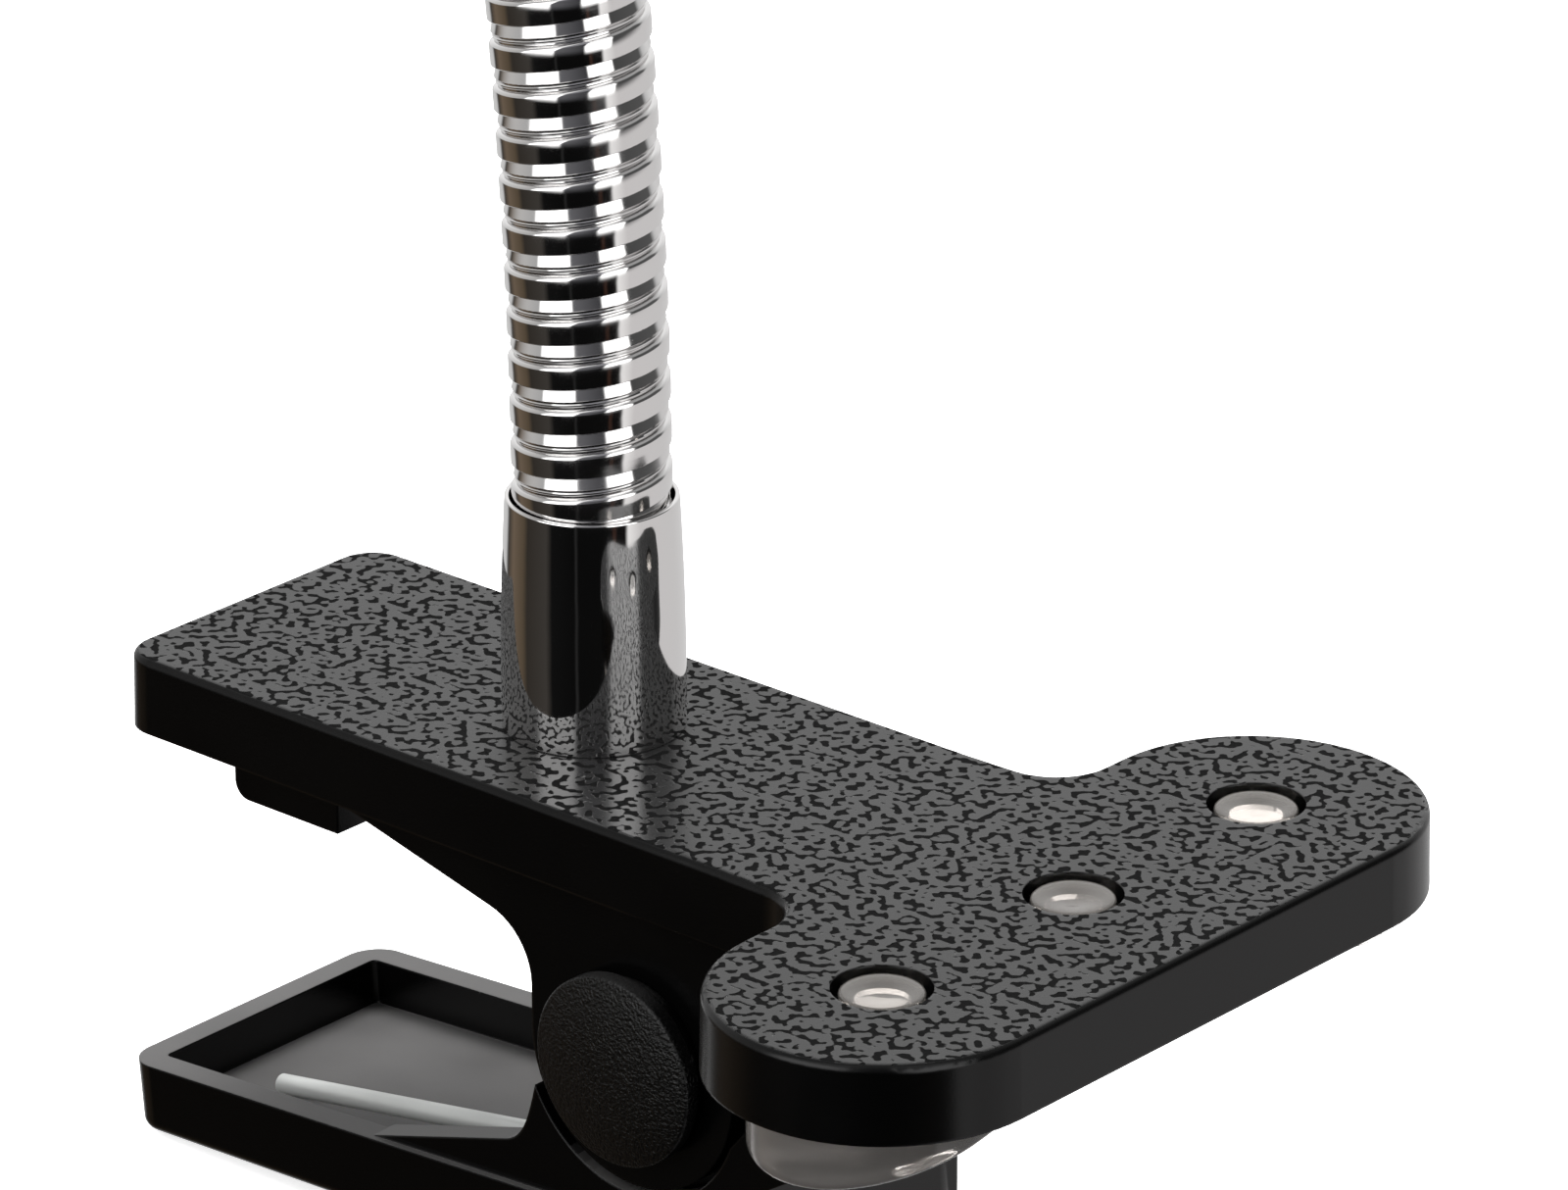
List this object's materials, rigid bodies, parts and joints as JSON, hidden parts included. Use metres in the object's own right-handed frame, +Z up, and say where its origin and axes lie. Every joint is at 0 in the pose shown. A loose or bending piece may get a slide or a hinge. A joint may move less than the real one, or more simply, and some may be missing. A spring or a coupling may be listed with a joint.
{
  "type": "clip-on gooseneck airbrush holder",
  "caption": "Sprung black plastic clamp with clear grip pads, a chrome flexible gooseneck standing on it, and a tilting slotted cup on top that holds an airbrush.",
  "frame": {"origin": "middle of the gap between the two closed gripping pads, in the middle of the clamp's width", "axes": "+X out of the clamp's mouth, +Y across the clamp, +Z up from the lower jaw to the upper jaw and along the gooseneck"},
  "size_m": [0.1049, 0.0732, 0.3216],
  "materials": {
    "grained_plastic": "satin black ABS, leather grain on the top face",
    "black_plastic": "satin black ABS",
    "cap_plastic": "fine spark-eroded black plastic",
    "cup_plastic": "semi-gloss black plastic",
    "clear_silicone": "clear soft silicone",
    "chrome_collar": "bright chrome plate",
    "chrome_hose": "bright chrome plate on wound strip",
    "chrome_head": "bright chrome plate",
    "steel": "zinc plated",
    "spring_steel": "drawn bright spring wire"
  },
  "bodies": {
    "jaw_upper": {"upper_jaw": "grained_plastic", "pad_upper": "clear_silicone", "pivot_pin": "steel", "pivot_caps": "cap_plastic", "spring_coil": "spring_steel", "collar": "chrome_collar", "collar_nipple": "steel", "nipple_washer": "steel", "nipple_nut": "steel", "hose_base": "chrome_hose"},
    "jaw_lower": {"lower_jaw": "black_plastic", "pad_lower": "clear_silicone", "spring_leg": "spring_steel"},
    "link_01": {"hose_01": "chrome_hose"},
    "link_02": {"hose_02": "chrome_hose"},
    "link_03": {"hose_03": "chrome_hose"},
    "link_04": {"hose_04": "chrome_hose"},
    "link_05": {"hose_05": "chrome_hose"},
    "link_06": {"hose_06": "chrome_hose"},
    "link_07": {"hose_07": "chrome_hose"},
    "link_08": {"hose_08": "chrome_hose"},
    "link_09": {"hose_09": "chrome_hose"},
    "link_10": {"hose_10": "chrome_hose"},
    "link_11": {"hose_11": "chrome_hose"},
    "link_12": {"hose_12": "chrome_hose"},
    "link_13": {"hose_13": "chrome_hose"},
    "link_14": {"hose_14": "chrome_hose", "ferrule_top": "chrome_collar"},
    "swivel": {"swivel": "chrome_head"},
    "cup": {"cup": "cup_plastic", "cup_rim": "clear_silicone", "tilt_pin": "chrome_head"}
  },
  "joints": [
    {"name": "jaw_pivot", "type": "hinge", "parent": "jaw_upper", "child": "jaw_lower", "pos_m": [-0.02825, 0, -0.0105], "axis": [0, 1, 0], "range_deg": [0, 28], "stiffness_Nm_per_rad": 0.82, "springref_deg": -34.95},
    {"name": "bend_01", "type": "hinge", "parent": "jaw_upper", "child": "link_01", "pos_m": [-0.045, 0, 0.0377], "axis": [0, 1, 0], "range_deg": [-12, 12]},
    {"name": "bend_02", "type": "hinge", "parent": "link_01", "child": "link_02", "pos_m": [-0.04558, 0, 0.05269], "axis": [0.9973, 0, 0.0732], "range_deg": [-12, 12]},
    {"name": "bend_03", "type": "hinge", "parent": "link_02", "child": "link_03", "pos_m": [-0.04667, 0, 0.06765], "axis": [0, 1, 0], "range_deg": [-12, 12]},
    {"name": "bend_04", "type": "hinge", "parent": "link_03", "child": "link_04", "pos_m": [-0.04819, 0, 0.08257], "axis": [0.9945, 0, 0.1045], "range_deg": [-12, 12]},
    {"name": "bend_05", "type": "hinge", "parent": "link_04", "child": "link_05", "pos_m": [-0.04976, 0, 0.09749], "axis": [0, 1, 0], "range_deg": [-12, 12]},
    {"name": "bend_06", "type": "hinge", "parent": "link_05", "child": "link_06", "pos_m": [-0.05106, 0, 0.11243], "axis": [0.9986, 0, 0.0523], "range_deg": [-12, 12]},
    {"name": "bend_07", "type": "hinge", "parent": "link_06", "child": "link_07", "pos_m": [-0.05185, 0, 0.12741], "axis": [0, 1, 0], "range_deg": [-12, 12]},
    {"name": "bend_08", "type": "hinge", "parent": "link_07", "child": "link_08", "pos_m": [-0.05185, 0, 0.14241], "axis": [0.9981, 0, -0.061], "range_deg": [-12, 12]},
    {"name": "bend_09", "type": "hinge", "parent": "link_08", "child": "link_09", "pos_m": [-0.05094, 0, 0.15738], "axis": [0, 1, 0], "range_deg": [-12, 12]},
    {"name": "bend_10", "type": "hinge", "parent": "link_09", "child": "link_10", "pos_m": [-0.04898, 0, 0.17226], "axis": [0.9799, 0, -0.1994], "range_deg": [-12, 12]},
    {"name": "bend_11", "type": "hinge", "parent": "link_10", "child": "link_11", "pos_m": [-0.04599, 0, 0.18696], "axis": [0, 1, 0], "range_deg": [-12, 12]},
    {"name": "bend_12", "type": "hinge", "parent": "link_11", "child": "link_12", "pos_m": [-0.04198, 0, 0.20141], "axis": [0.9426, 0, -0.3338], "range_deg": [-12, 12]},
    {"name": "bend_13", "type": "hinge", "parent": "link_12", "child": "link_13", "pos_m": [-0.03697, 0, 0.21555], "axis": [0, 1, 0], "range_deg": [-12, 12]},
    {"name": "bend_14", "type": "hinge", "parent": "link_13", "child": "link_14", "pos_m": [-0.03099, 0, 0.22931], "axis": [0.887, 0, -0.4617], "range_deg": [-12, 12]},
    {"name": "head_swivel", "type": "hinge", "parent": "link_14", "child": "swivel", "pos_m": [-0.02176, 0, 0.24704], "axis": [0.4617, 0, 0.887], "range_deg": [-175, 175]},
    {"name": "cup_tilt", "type": "hinge", "parent": "swivel", "child": "cup", "pos_m": [-0.01529, 0, 0.25946], "axis": [0, 1, 0], "range_deg": [-60, 25]}
  ]
}
